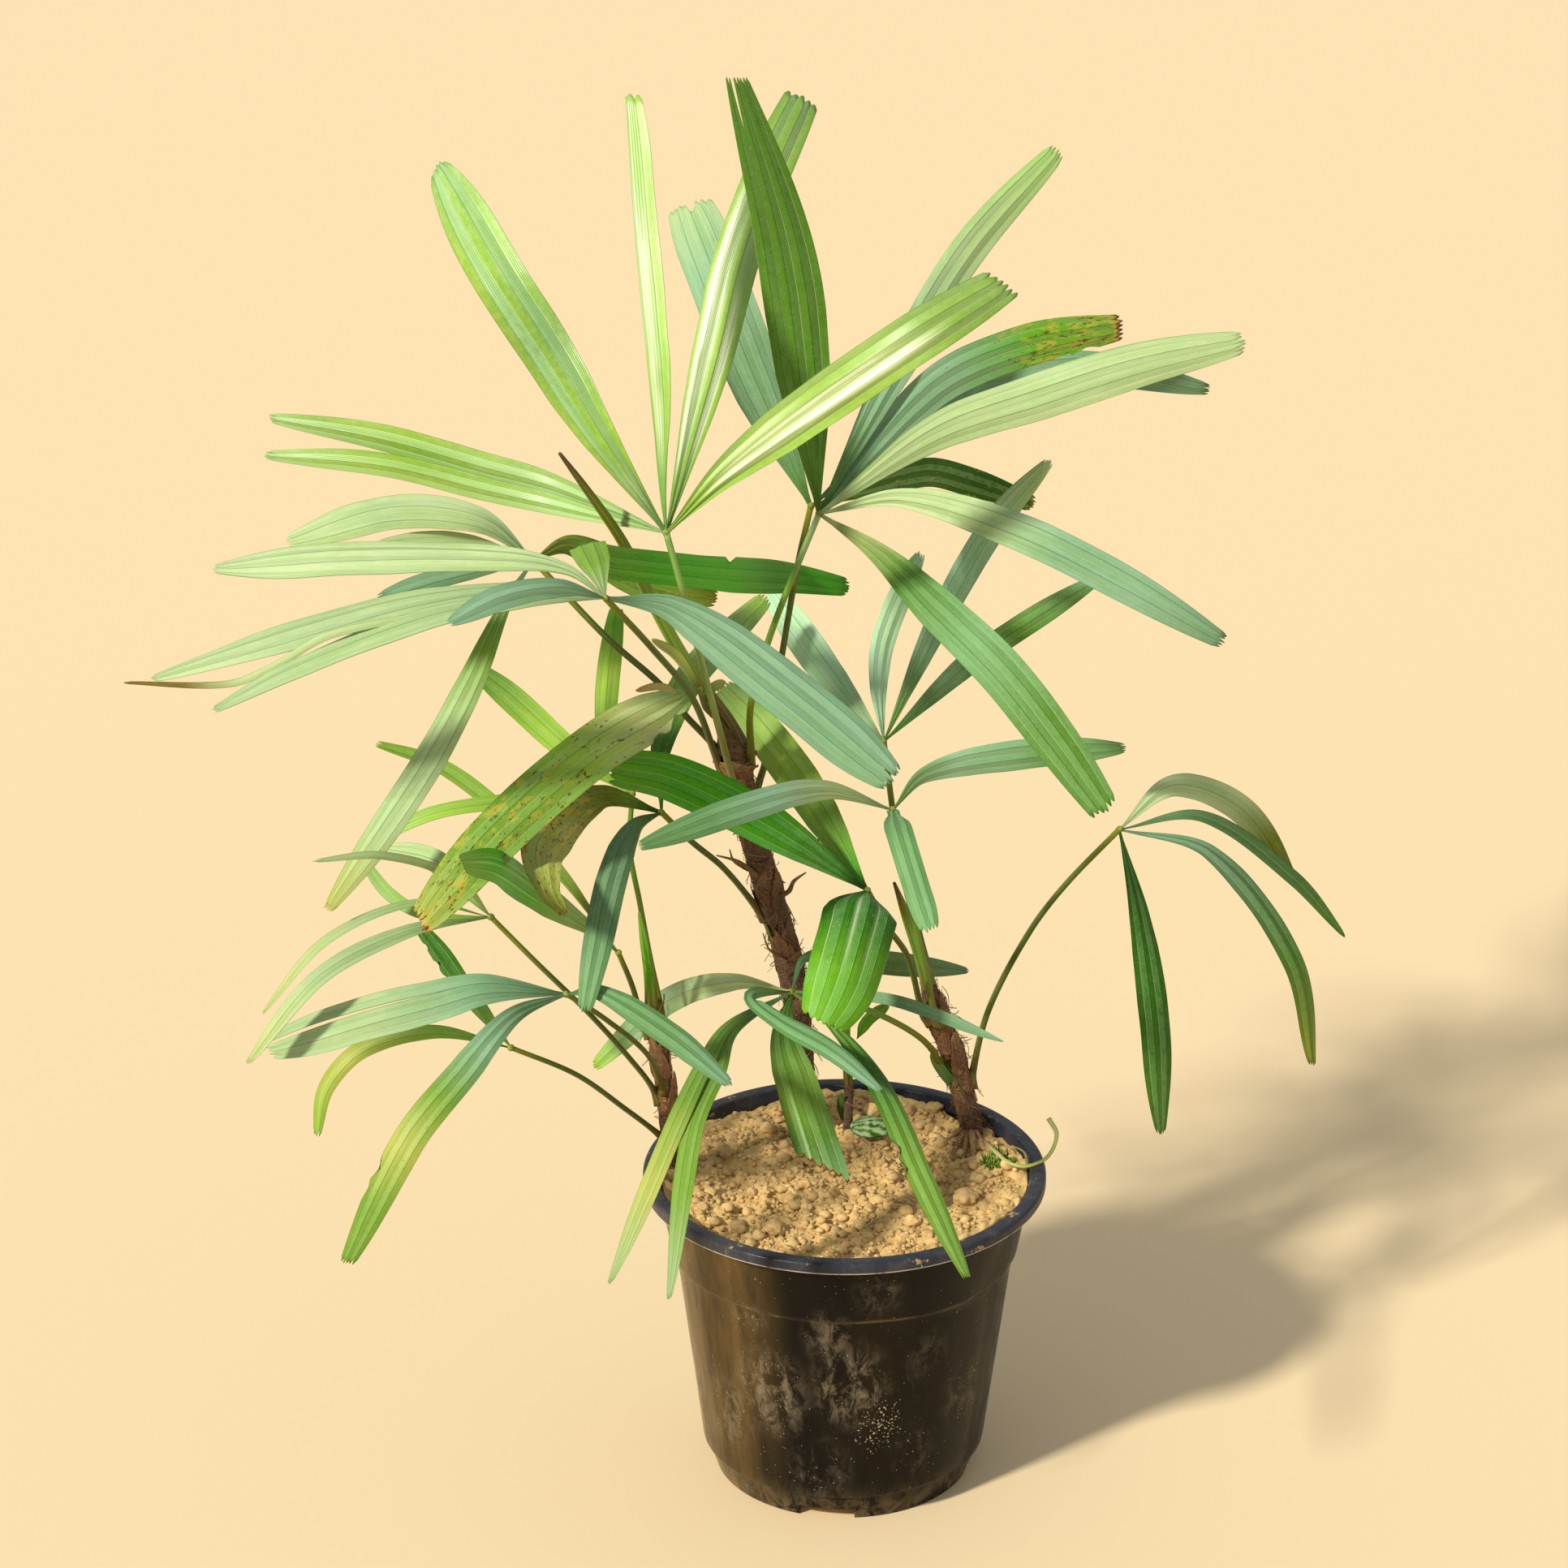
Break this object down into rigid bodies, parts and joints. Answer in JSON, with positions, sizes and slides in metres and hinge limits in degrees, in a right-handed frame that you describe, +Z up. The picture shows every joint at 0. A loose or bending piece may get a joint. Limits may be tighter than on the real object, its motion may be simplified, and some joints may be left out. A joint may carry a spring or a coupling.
{
  "type": "potted lady palm",
  "caption": "Clump of thin fibrous palm stems with fan-shaped, finger-like fronds, growing from sandy soil in a round black nursery pot.",
  "frame": {"origin": "centre of the pot's flat underside", "axes": "+Z up; +X is the picture's right; +Y points away from the picture's viewer"},
  "size_m": [0.746, 0.5005, 0.94],
  "materials": {
    "pot_plastic": "black nursery pot plastic, dusty and scuffed, satin with soft vertical flutes",
    "sandy_soil": "dry sandy potting soil in crumbs and clods",
    "stem_fibre": "brown leaf-sheath fibre that runs into a green unopened spear",
    "leaf_a": "pleated palm leaflets with a waxy sheen",
    "leaf_b": "pleated palm leaflets with a waxy sheen",
    "leaf_c": "pleated palm leaflets with a waxy sheen",
    "leaf_d": "pleated palm leaflets with a waxy sheen",
    "leaf_e": "pleated palm leaflets with a waxy sheen",
    "leaf_f": "pleated palm leaflets with a waxy sheen",
    "leaf_g": "pleated palm leaflets with a waxy sheen",
    "leaf_h": "pleated palm leaflets with a waxy sheen",
    "leaf_i": "pleated palm leaflets with a waxy sheen",
    "leaf_j": "pleated palm leaflets with a waxy sheen",
    "leaf_k": "pleated palm leaflets with a waxy sheen",
    "leaf_l": "pleated palm leaflets with a waxy sheen",
    "leaf_m": "pleated palm leaflets with a waxy sheen",
    "leaf_n": "pleated palm leaflets with a waxy sheen",
    "leaf_o": "pleated palm leaflets with a waxy sheen",
    "leaf_p": "pleated palm leaflets with a waxy sheen",
    "leaf_r": "pleated palm leaflets with a waxy sheen"
  },
  "bodies": {
    "root": {"frond_a": "leaf_a", "frond_a_leaflet_1": "leaf_a", "frond_a_leaflet_2": "leaf_a", "frond_a_leaflet_3": "leaf_a", "frond_a_leaflet_4": "leaf_a", "frond_b": "leaf_b", "frond_b_leaflet_1": "leaf_b", "frond_b_leaflet_2": "leaf_b", "frond_b_leaflet_3": "leaf_b", "frond_b_leaflet_4": "leaf_b", "frond_b_leaflet_5": "leaf_b", "frond_c": "leaf_c", "frond_c_leaflet_1": "leaf_c", "frond_c_leaflet_2": "leaf_c", "frond_c_leaflet_3": "leaf_c", "frond_c_leaflet_4": "leaf_c", "frond_d": "leaf_d", "frond_d_leaflet_1": "leaf_d", "frond_d_leaflet_2": "leaf_d", "frond_e": "leaf_e", "frond_f": "leaf_f", "frond_f_leaflet_1": "leaf_f", "frond_f_leaflet_2": "leaf_f", "frond_g": "leaf_g", "frond_g_leaflet_1": "leaf_g", "frond_g_leaflet_2": "leaf_g", "frond_h": "leaf_h", "frond_h_leaflet_1": "leaf_h", "frond_h_leaflet_2": "leaf_h", "frond_i": "leaf_i", "frond_i_leaflet_1": "leaf_i", "frond_i_leaflet_2": "leaf_i", "frond_j": "leaf_j", "frond_j_leaflet_1": "leaf_j", "frond_k": "leaf_k", "frond_k_leaflet_1": "leaf_k", "frond_k_leaflet_2": "leaf_k", "frond_l": "leaf_l", "frond_l_leaflet_1": "leaf_l", "frond_l_leaflet_2": "leaf_l", "frond_l_leaflet_3": "leaf_l", "frond_l_leaflet_4": "leaf_l", "frond_l_leaflet_5": "leaf_l", "frond_m": "leaf_m", "frond_m_leaflet_1": "leaf_m", "frond_n": "leaf_n", "frond_n_leaflet_1": "leaf_n", "frond_n_leaflet_2": "leaf_n", "frond_o": "leaf_o", "frond_o_leaflet_1": "leaf_o", "frond_p": "leaf_p", "frond_p_leaflet_1": "leaf_p", "frond_r": "leaf_r", "frond_r_leaflet_1": "leaf_r", "left_stem": "stem_fibre", "main_stem": "stem_fibre", "pot": "pot_plastic", "right_stem": "stem_fibre", "small_stem": "stem_fibre", "soil": "sandy_soil"}
  },
  "joints": []
}
